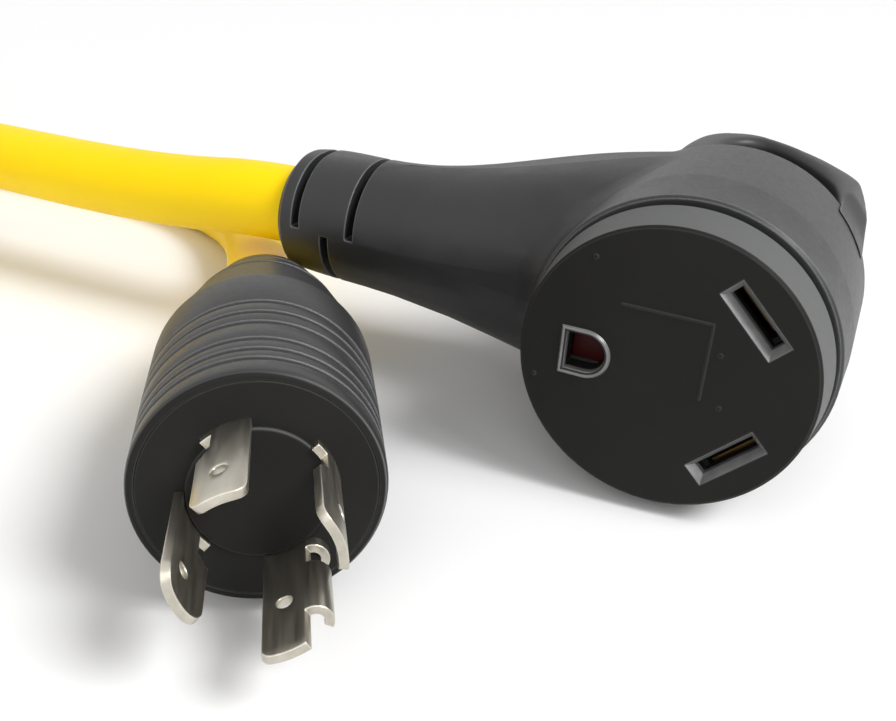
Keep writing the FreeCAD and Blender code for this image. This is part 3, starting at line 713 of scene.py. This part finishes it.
@dataclass
class PlugShell:
    """The plug's moulding: rounded front edge, two sets of grooves, shoulder and slotted tail."""

    # Corners of the outside as (radius, y), without the grooves.
    outside: tuple[Flat, ...] = (
        (19.3, 0.0), (20.1, 0.05), (20.5, 0.3), (20.75, 0.7), (20.85, 1.3), (21.4, 24.0),
        (21.75, 45.2), (21.7, 46.6), (21.4, 47.8), (20.9, 48.7), (20.2, 49.6), (19.2, 60.0),
        (17.4, 71.0), (14.8, 82.0), (13.9, 86.8), (13.5, 87.7), (12.8, 88.0),
    )
    # Places of the grooves along the barrel.
    grooves: tuple[float, ...] = (5.1, 8.9, 13.2, 20.6, 25.6, 30.8)
    groove_half: float = 1.05  # Half the width of a groove.
    groove_depth: float = 0.95  # Depth of a groove.
    # A groove's section, as shares of its half width and of its depth.
    valley: tuple[Flat, ...] = (
        (-1.0, 0.0), (-0.86, 0.06), (-0.62, 0.86), (0.0, 1.0),
        (0.62, 0.86), (0.86, 0.06), (1.0, 0.0),
    )
    # Corners of the inside, from the tail to the front.
    bore: tuple[Flat, ...] = ((9.85, 88.0), (9.85, 50.0), (16.6, 49.0), (16.6, 8.1), (19.3, 8.1))
    # Places of the slots along the tail, each with its side.
    tail_slots: tuple[tuple[float, Side], ...] = (
        (81.0, Side.UPPER), (75.0, Side.LOWER), (68.0, Side.UPPER),
    )
    slot_width: float = 2.6  # Width of a tail slot.
    slot_depth: float = 2.6  # Depth of a tail slot.
    slot_start_deg: float = 9.0  # Angle from the middle plane at which a slot starts.
    slot_steps: int = 48  # Steps along a slot.
    front_depth: float = 0.2  # Depth of the front rim that has the face's finish.
    steps: int = 128  # Steps round the axis.
    smooth_deg: float = 34.0  # Greatest angle that is shaded smooth.

    def radius_at(self, along: float) -> float:
        """Gives the outside's radius without the grooves.

        Args:
            along: Place along the axis.

        Returns:
            The radius there.
        """
        for (r0, y0), (r1, y1) in zip(self.outside, self.outside[1:]):
            if y0 <= along <= y1:
                return r0 + (r1 - r0) * (along - y0) / (y1 - y0)
        return self.outside[-1][0]

    def section(self) -> list[Flat]:
        """Draws the moulding's section, with a rounded valley at each groove.

        Returns:
            The section's corners as (radius, y).
        """
        corners = list(self.outside)
        for groove in self.grooves:
            for across, share in self.valley:
                along = groove + across * self.groove_half
                corners.append((self.radius_at(along) - share * self.groove_depth, along))
        corners.sort(key=lambda corner: corner[1])
        return [*corners, *self.bore]

    def cut_slots(self, shell: Object) -> None:
        """Cuts the strain-relief slots into the tail.

        Args:
            shell: The moulding.
        """
        for along, side in self.tail_slots:
            outer, half = self.radius_at(along), self.slot_width / 2
            ends = (along - half, along + half)
            ring = box_section(outer - self.slot_depth, outer + CUT_OVER, *ends)
            start = self.slot_start_deg if side is Side.UPPER else self.slot_start_deg - 180
            span = 180 - 2 * self.slot_start_deg
            combine(shell, spun("slot_cutter", ring, start, span, self.slot_steps), Join.CUT)

    def build(self, materials: Materials) -> None:
        """Makes the moulding and hands it over.

        Args:
            materials: Materials by slot name.
        """
        shell = spun("plug_shell", self.section(), 0.0, 360.0, self.steps)
        self.cut_slots(shell)
        faces = shell.data.polygons
        front = [face.index for face in faces if face.center.y < self.front_depth * MM]
        settle(shell, PLUG_PLACE, smooth_deg=self.smooth_deg)
        hand_over(shell, materials[Slot.MOULDING.value], Slot.MOULDING, "plug_body")
        shell.data.materials.append(materials[Slot.FACE.value])
        for index in front:
            shell.data.polygons[index].material_index = 1


@dataclass(frozen=True)
class Blade:
    """One curved blade of the plug."""

    node: str  # The CAD node that it stands for.
    start_deg: float  # Angle where it starts on the blades' circle.
    span_deg: float  # Angle that it covers.
    tip: float  # Length in front of the face.
    corner: float = 1.9  # Radius of the tip's rounded corners.
    folded: bool = False  # Whether its far side is curled over instead of notched.


@dataclass
class PlugBlades:
    """The plug's four stamped blades, each with its hole, rounded edges and crimp barrel."""

    blades: tuple[Blade, ...] = (
        Blade("neutral_blade", 91.0, 38.0, 22.0),
        Blade("line_blade", 175.0, 50.0, 22.0, 2.6),
        Blade("spare_line_blade", -10.0, 51.0, 22.0, 2.2),
        Blade("ground_blade", 270.0, 33.0, 26.2, 1.4, True),
    )
    circle: float = 12.3  # Radius of the blades' circle.
    thick: float = 1.45  # Thickness of the metal.
    root: float = 16.0  # How far a blade goes into the plug.
    rows: int = 24  # Rows of faces along a blade.
    columns: int = 14  # Columns of faces across a blade.
    edge: float = 0.34  # Rounding of the edges.
    trim_start: float = 3.0  # How far inside the circle a trimming cut starts, in thicknesses.
    trim_run: float = 8.0  # Length of a trimming cut, in thicknesses.
    tip_over: float = 2.0  # How far a corner's cutter stands out of the tip.
    corner_step_deg: int = 15  # Angle of one step round a rounded corner.
    # The notch in a straight side, as (distance beyond the side, y).
    side_notch: tuple[Flat, ...] = ((3.0, -1.6), (-2.2, -1.6), (-2.2, -6.2), (3.0, -11.0))
    hole: float = 1.35  # Radius of the hole near the tip.
    hole_along: float = 14.5  # Distance of the hole from the face.
    hole_sides: int = 40  # Sides of the hole.
    hole_run: float = 4.0  # Length of the drill, in thicknesses.
    curl: float = 2.1  # Middle radius of the ground blade's curled side.
    curl_deg: float = 150.0  # Angle of the curl.
    curl_lap_deg: float = 4.0  # Angle by which the curl runs on into the blade.
    curl_tip: float = 18.6  # Length of the curl in front of the face.
    curl_steps: int = 16  # Steps round the curl.
    # The notch in the curled side, as (distance beyond the side, y).
    curl_notch: tuple[Flat, ...] = ((0.5, -2.2), (7.0, -2.2), (7.0, -6.6), (0.5, -6.6))
    barrel: Flat = (1.6, 2.5)  # Inner and outer radius of the crimp barrel.
    barrel_end: float = 26.0  # End of the crimp barrel.
    barrel_steps: int = 32  # Steps round the crimp barrel.

    def trim(self, piece: Object, angle_deg: float, outward: int, corners: Sequence[Flat]) -> None:
        """Cuts a straight-sided opening through one side of a blade.

        Args:
            piece: The blade.
            angle_deg: The side's angle on the circle.
            outward: 1 where the angle grows out of the blade, else -1.
            corners: The opening's corners, as (distance beyond the side, y).
        """
        x, z = math.cos(math.radians(angle_deg)), math.sin(math.radians(angle_deg))
        inside, depth = self.circle - self.trim_start * self.thick, self.trim_run * self.thick
        outline = [
            (inside * x - outward * along * z, y, inside * z + outward * along * x)
            for along, y in corners
        ]
        combine(piece, prism("trimmer", outline, (depth * x, 0.0, depth * z)), Join.CUT)

    def rounded_corner(self, blade: Blade) -> list[Flat]:
        """Draws the outline that rounds a corner of the tip.

        Args:
            blade: The blade's sizes.

        Returns:
            The outline's corners, as (distance beyond the side, y).
        """
        radius, tip = blade.corner, -blade.tip
        turns = [math.radians(step) for step in range(0, 91, self.corner_step_deg)]
        arc = [
            (-radius + radius * math.sin(turn), tip + radius - radius * math.cos(turn))
            for turn in turns
        ]
        end = tip - self.tip_over
        return [(CUT_OVER, end), (-radius, end), *arc, (CUT_OVER, tip + radius)]

    def curl_side(self, piece: Object, end_deg: float) -> None:
        """Curls over the far side of a blade.

        Args:
            piece: The blade.
            end_deg: The side's angle on the circle.
        """
        turn, reach, half = math.radians(end_deg), self.circle + self.curl, self.thick / 2
        axis = (reach * math.cos(turn), reach * math.sin(turn))
        lobe = box_section(self.curl - half, self.curl + half, -self.curl_tip, self.root / 2)
        first = end_deg - 180 - self.curl_deg
        span = self.curl_deg + self.curl_lap_deg
        combine(piece, spun("curled_side", lobe, first, span, self.curl_steps, axis), Join.ADD)

    def drill(self, piece: Object, turn: float) -> None:
        """Drills the hole near a blade's tip.

        Args:
            piece: The blade.
            turn: Angle of the blade's middle in radians.
        """
        place = (self.circle * math.cos(turn), -self.hole_along, self.circle * math.sin(turn))
        bpy.ops.object.select_all(action="DESELECT")
        bpy.ops.mesh.primitive_cylinder_add(
            vertices=self.hole_sides,
            radius=self.hole * MM,
            depth=self.hole_run * self.thick * MM,
            location=in_metres(place),
            rotation=(0.0, math.pi / 2 - turn, 0.0),
        )
        combine(piece, bpy.context.object, Join.CUT)

    def add_barrel(self, piece: Object, turn: float) -> None:
        """Adds the crimp barrel behind a blade.

        Args:
            piece: The blade.
            turn: Angle of the blade's middle in radians.
        """
        ring = box_section(*self.barrel, self.root, self.barrel_end)
        axis = (self.circle * math.cos(turn), self.circle * math.sin(turn))
        combine(piece, spun("crimp_barrel", ring, 0.0, 360.0, self.barrel_steps, axis), Join.ADD)

    def make(self, blade: Blade) -> Object:
        """Models one blade in the plug's axes.

        Args:
            blade: The blade's sizes.

        Returns:
            The blade's object.
        """
        inner, outer = self.circle - self.thick / 2, self.circle + self.thick / 2
        start, end = blade.start_deg, blade.start_deg + blade.span_deg
        middle = math.radians(blade.start_deg + blade.span_deg / 2)
        long = blade.tip + self.root
        rows = [-blade.tip + long * step / self.rows for step in range(self.rows + 1)]
        section = [(outer, row) for row in rows] + [(inner, row) for row in reversed(rows)]
        piece = spun(f"{blade.node}_metal", section, start, blade.span_deg, self.columns)
        self.trim(piece, start, -1, self.rounded_corner(blade))
        if blade.folded:
            self.curl_side(piece, end)
            self.trim(piece, end, 1, self.curl_notch)
        else:
            self.trim(piece, end, 1, self.rounded_corner(blade))
            self.trim(piece, end, 1, self.side_notch)
        self.drill(piece, middle)
        self.add_barrel(piece, middle)
        return piece

    def build(self, materials: Materials) -> None:
        """Makes the four blades and hands them over.

        Args:
            materials: Materials by slot name.
        """
        for blade in self.blades:
            piece = self.make(blade)
            settle(piece, PLUG_PLACE, self.edge)
            hand_over(piece, materials[Slot.BLADE.value], Slot.BLADE, blade.node)


@dataclass
class FaceOpenings:
    """The linings of the outlet face's openings: two funnels and the ground hole's rim, grey as a
    painted reflection, and the hole's backing.
    """

    slot_place: Flat = (14.3, 14.1)  # Distance of a slot's middle across and above the axis.
    slant_deg: float = 45.0  # Slant of the slots.
    mouth: Flat = (14.9, 4.9)  # Length and width of a slot's mouth.
    mouth_y: float = -0.02  # Place of the mouth, just in front of the face.
    lip: float = 1.2  # Width of the funnel's wall.
    funnel: float = 1.75  # Depth of the funnel.
    throat: float = 1.3  # Depth of the slot's lined part behind the funnel.
    wall: float = 0.12  # Thickness of a lining.
    ground_x: float = -14.9  # Middle of the ground hole.
    ground_half: float = 4.0  # Half the ground hole's width.
    ground_step_deg: int = 9  # Angle of one step round the ground hole.
    rim: float = 0.95  # Width of the ground hole's raised rim.
    rim_y: float = -0.05  # Place of the rim's foot, just in front of the face.
    # The rim's section, each step as (inset, depth).
    rim_steps: tuple[Flat, ...] = ((0.3, -0.4), (0.2, 0.0), (0.5, 0.7), (0.0, 1.2))
    backing_y: float = 5.2  # Place of the red backing in the ground hole.
    backing_thick: float = 0.5  # Thickness of the backing.
    backing_gap: float = 0.05  # Gap between the backing and the hole's wall.
    backing_edge: float = 0.1  # Rounding of the backing's edges.

    def hollow(self, piece: Object, steps: Sequence[Flat]) -> None:
        """Insets the selected face again and again, opens the last one and gives a wall.

        Args:
            piece: The piece, in edit mode with its face selected.
            steps: For each inset its width and how deep the new face goes.
        """
        for width, depth in steps:
            inward = in_metres((0.0, depth, 0.0))
            if width:
                bpy.ops.mesh.inset(thickness=width * MM, depth=0.0)
                bpy.ops.transform.translate(value=inward)
            else:
                extrude(inward)
        bpy.ops.mesh.delete(type="FACE")
        bpy.ops.object.mode_set(mode="OBJECT")
        shell = piece.modifiers.new("wall", "SOLIDIFY")
        shell.thickness = self.wall * MM
        shell.offset = 1.0
        finish_modifier(piece, shell.name)

    def make_slot(self, side: Side) -> Object:
        """Makes one slot's funnel.

        Args:
            side: The half of the face that it is in.

        Returns:
            The funnel, in its place.
        """
        x, z, y = self.mouth[0] / 2, self.mouth[1] / 2, self.mouth_y
        corners = [(-x, y, -z), (x, y, -z), (x, y, z), (-x, y, z)]
        funnel = start_outline(f"{side.name.lower()}_slot_funnel", corners)
        bpy.ops.mesh.select_mode(type="FACE")
        bpy.ops.mesh.select_all(action="SELECT")
        bpy.ops.mesh.edge_face_add()
        self.hollow(funnel, ((self.lip, self.funnel), (0.0, self.throat)))
        across, above = self.slot_place
        place = Matrix.Translation(in_metres((across, 0.0, side.value * above)))
        slant = Matrix.Rotation(math.radians(side.value * self.slant_deg), 4, "Y")
        settle(funnel, HEAD_PLACE @ place @ slant)
        return funnel

    def ground_outline(self, half: float, y: float) -> list[Point]:
        """Draws the ground hole's outline, flat on the neck's side.

        Args:
            half: Half its width.
            y: Its depth behind the face.

        Returns:
            The outline's corners.
        """
        arc = [math.radians(step) for step in range(-90, 91, self.ground_step_deg)]
        round_side = [
            (self.ground_x + half * math.cos(turn), y, half * math.sin(turn)) for turn in arc
        ]
        flat = self.ground_x - half
        return [(flat, y, -half), *round_side, (flat, y, half)]

    def make_rim(self) -> Object:
        """Makes the ground hole's raised rim.

        Returns:
            The rim, in its place.
        """
        outline = self.ground_outline(self.ground_half + self.rim, self.rim_y)
        rim = start_outline("ground_hole_rim", outline)
        bpy.ops.mesh.edge_face_add()
        self.hollow(rim, self.rim_steps)
        settle(rim, HEAD_PLACE)
        return rim

    def make_backing(self) -> Object:
        """Makes the red backing in the ground hole.

        Returns:
            The backing, in its place.
        """
        outline = self.ground_outline(self.ground_half - self.backing_gap, self.backing_y)
        backing = prism("ground_hole_backing", outline, (0.0, self.backing_thick, 0.0))
        settle(backing, HEAD_PLACE, self.backing_edge)
        return backing

    def build(self, effects: Effects) -> None:
        """Makes the linings and hands them over.

        Args:
            effects: The shared node groups.
        """
        # The funnels and the rim get the grey painted reflection.
        reflection_lining = LINING_REFLECTION_FINISH.material(effects, "slot_lining_painted_reflection")
        for side in Side:
            hand_over(self.make_slot(side), reflection_lining, Slot.FACE)
        hand_over(self.make_rim(), reflection_lining, Slot.FACE)
        backing = BACKING_FINISH.material(effects, "hole_backing")
        hand_over(self.make_backing(), backing, Slot.FACE)


@dataclass
class FreeCord:
    """The yellow cord, from the outlet's neck through the coil to the plug's tail, in metres."""

    diameter: float = 19.5 * MM  # Jacket diameter.
    # Points from the neck's end to the coil's upper end.
    head_route: tuple[Point, ...] = (
        (-0.06589, -0.00908, 0.0373),
        (-0.07987, -0.00908, 0.03818),
        (-0.1061, -0.00738, 0.0357),
        (-0.1401, -0.00438, 0.035),
        (-0.2022, 0.00282, 0.0358),
        (-0.2337, -0.00298, 0.0338),
        (-0.2622, -0.01748, 0.0314),
        (-0.28414, -0.0402, 0.02975),
    )
    # Points from the coil's lower end to the plug's tail.
    plug_route: tuple[Point, ...] = (
        (-0.33254, 0.08087, 0.00975),
        (-0.2741, 0.07322, 0.00975),
        (-0.2201, 0.06792, 0.00975),
        (-0.1656, 0.06322, 0.00975),
        (-0.1341, 0.05022, 0.0099),
        (-0.1075, 0.02762, 0.0109),
        (-0.0825, -0.00668, 0.0132),
        (-0.06863, -0.02498, 0.01881),
        (-0.06286, -0.03373, 0.01939),
    )
    coil_centre: Flat = (-0.415895, -0.023581)  # Middle of the coil in plan.
    coil_radius: float = 0.121  # Radius where the lower layer starts.
    coil_step: float = 0.0205  # Radial pitch of the spiral for one turn.
    coil_rise: float = 0.020  # Height of the upper layer over the lower one.
    coil_start_deg: float = 75.0  # Position angle of the lower layer's outer end.
    coil_turn_deg: float = 1335.0  # Angle that the whole coil covers.
    climb_deg: float = 180.0  # Angle in which the cord climbs to the upper layer.
    points_per_turn: int = 20  # Control points in one turn of the coil.
    length: float = 3.0  # Length of the cord between the two mouldings.
    line_steps: int = 8  # Steps between two control points.
    section_steps: int = 10  # Steps of the round section in a quarter turn.

    def coil_point(self, turned: float) -> Point:
        """Gives a point of the coil.

        Args:
            turned: Degrees from the lower layer's outer end.

        Returns:
            The point.
        """
        flat = (self.coil_turn_deg - self.climb_deg) / 2
        inner = self.coil_radius - self.coil_step * flat / 360
        if turned <= flat:
            radius, height = self.coil_radius - self.coil_step * turned / 360, 0.0
        elif turned < flat + self.climb_deg:
            share = (turned - flat) / self.climb_deg
            radius = inner - self.coil_step * self.climb_deg / 360 * (share - share**2)
            height = eased(share, self.coil_rise)
        else:
            radius = inner + self.coil_step * (turned - flat - self.climb_deg) / 360
            height = self.coil_rise
        angle = math.radians(self.coil_start_deg + turned)
        x, y = self.coil_centre
        z = self.diameter / 2 + height
        return x + radius * math.cos(angle), y + radius * math.sin(angle), z

    def coil_points(self) -> list[Point]:
        """Lists the coil's control points, from its upper end to its lower end."""
        count = round(self.coil_turn_deg / 360 * self.points_per_turn)
        return [self.coil_point(self.coil_turn_deg * (count - i) / count) for i in range(count + 1)]

    def make(self) -> Object:
        """Makes the cord as one smooth curve with a round section.

        Returns:
            The cord's object.
        """
        curve = bpy.data.curves.new("yellow_cord", "CURVE")
        curve.dimensions = "3D"
        spline = curve.splines.new("NURBS")
        points = [*self.head_route, *self.coil_points(), *self.plug_route]
        spline.points.add(len(points) - 1)
        for point, place in zip(spline.points, points):
            point.co = (*place, 1.0)
        spline.order_u = 3
        spline.use_endpoint_u = True
        spline.resolution_u = self.line_steps
        curve.bevel_depth = self.diameter / 2
        curve.bevel_resolution = self.section_steps
        curve.use_fill_caps = True
        return add_object("yellow_cord", curve)

    def build(self, materials: Materials) -> None:
        """Makes the cord, dresses it and lets it ride on the cord set.

        Args:
            materials: Materials by slot name.
        """
        cord = self.make()
        cord.data.materials.append(materials[Slot.JACKET.value])
        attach(cord, Body.CORD_SET.value)
        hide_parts("outlet_cord", "cord_coil", "plug_cord")
        LOG.info("%s made", cord.name)


def facing(towards: Vector) -> Euler:
    """Gives the turn of a lamp that stands in a direction and looks back along it."""
    return towards.to_track_quat("Z", "Y").to_euler()


@dataclass
class Studio:
    """The pale floor, the even room light, the soft lamps and the camera, in metres."""

    eye: Point = (0.06822, -0.21704, 0.11225)  # The camera's place.
    right: Point = (0.90891, 0.41690, 0.00863)  # The camera's right direction.
    up: Point = (-0.18748, 0.39008, 0.90149)  # The camera's up direction.
    lens: float = 40.18  # The camera's focal length in millimetres.
    sensor: float = 36.0  # The camera's sensor width in millimetres.
    near: float = 0.005  # Distance at which the camera starts to see.
    floor_half: float = 6.0  # Half the floor's side.
    floor_colour: Point = (0.9, 0.9, 0.9)  # The floor's colour, linear.
    floor_rough: float = 0.9  # The floor's roughness.
    fill: float = 0.42  # Strength of the room's even light on the object.
    lit_point: Point = (0.0, 0.0, 0.03)  # The point near the outlet head that the softbox looks at.

    def add_camera(self) -> None:
        """Puts the camera where the photograph was taken from."""
        data = bpy.data.cameras.new("photo_camera")
        data.lens = self.lens
        data.sensor_width = self.sensor
        data.clip_start = self.near
        camera = add_object("photo_camera", data)
        right = Vector(self.right).normalized()
        back = right.cross(Vector(self.up)).normalized()
        turn = Matrix((right, back.cross(right), back)).transposed()
        camera.matrix_world = Matrix.Translation(self.eye) @ turn.to_4x4()
        bpy.context.scene.camera = camera

    def add_floor(self) -> None:
        """Lays a plain pale floor under the cord."""
        bpy.ops.object.select_all(action="DESELECT")
        bpy.ops.mesh.primitive_plane_add(size=2 * self.floor_half, location=(0, 0, 0))
        floor = bpy.context.object
        floor.name = "floor"
        material = bpy.data.materials.new("pale_floor")
        material.use_nodes = True
        tree = material.node_tree
        finish = {"Base Color": (*self.floor_colour, 1.0), "Roughness": self.floor_rough}
        set_inputs(tree, tree.nodes["Principled BSDF"], finish)
        floor.data.materials.append(material)

    def add_room(self) -> None:
        """Fills the room with an even light that looks white in the picture and in reflections."""
        world = bpy.data.worlds.new("soft_room")
        bpy.context.scene.world = world
        world.use_nodes = True
        tree = world.node_tree
        ray = add_node(tree, "LightPath").outputs
        seen = ray["Is Camera Ray"]
        for way in ("Is Transmission Ray", "Is Glossy Ray"):
            either = add_node(tree, "Math", {0: seen, 1: ray[way]}, operation="MAXIMUM")
            seen = either.outputs["Value"]
        level = add_node(tree, "MapRange", {"Value": seen, "To Min": self.fill, "To Max": 1.0})
        light = {"Color": (1.0, 1.0, 1.0, 1.0), "Strength": level.outputs["Result"]}
        set_inputs(tree, tree.nodes["Background"], light)

    def add_sun(self, name: str, towards: Point, power: float, spread_deg: float) -> None:
        """Adds a broad soft light from far away.

        Args:
            name: The light's name.
            towards: Direction from the object to the light.
            power: Its power in watts per square metre.
            spread_deg: The angle that it fills as seen from the object.
        """
        data = bpy.data.lights.new(name, "SUN")
        data.energy = power
        data.angle = math.radians(spread_deg)
        add_object(name, data).rotation_euler = facing(Vector(towards))

    def add_softbox(self, name: str, place: Point, size: float, power: float) -> None:
        """Adds a square lamp that looks at the outlet head and draws its highlights.

        Args:
            name: The lamp's name.
            place: Its place.
            size: Its side.
            power: Its power in watts.
        """
        data = bpy.data.lights.new(name, "AREA")
        data.size = size
        data.energy = power
        lamp = add_object(name, data)
        lamp.location = place
        lamp.rotation_euler = facing(Vector(place) - Vector(self.lit_point))

    def build(self) -> None:
        """Sets up the floor, lights, room and camera."""
        bpy.context.scene.view_settings.view_transform = "Standard"
        self.add_room()
        self.add_floor()
        self.add_sun("key_light", towards=(0.72, -0.05, 0.7), power=2.3, spread_deg=22.0)
        self.add_sun("front_fill", towards=(0.1, -0.8, 0.5), power=0.8, spread_deg=60.0)
        self.add_softbox("edge_softbox", (0.42, -0.2, 0.5), size=0.22, power=1.1)
        self.add_camera()
        LOG.info("studio made")


def dress_frame(frame: dict, materials: Materials) -> None:
    """Gives every CAD node its finish.

    Args:
        frame: The loaded frame.
        materials: Materials by slot name.
    """
    for part in frame["record"]["subparts"]:
        node = frame["nodes"][part["node"]]
        node.data.materials.clear()
        node.data.materials.append(materials[part["material_slot"]])


def main() -> None:
    """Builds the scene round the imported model."""
    logging.basicConfig(level=logging.INFO)
    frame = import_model()
    effects = Effects(mottle_group(), edge_group())
    materials = {finish.slot.value: finish.material(effects) for finish in FINISHES}
    dress_frame(frame, materials)
    HandleSkin().build(frame, materials)
    PlugShell().build(materials)
    PlugBlades().build(materials)
    FaceOpenings().build(effects)
    FreeCord().build(materials)
    Studio().build()


if __name__ == "__main__":
    main()
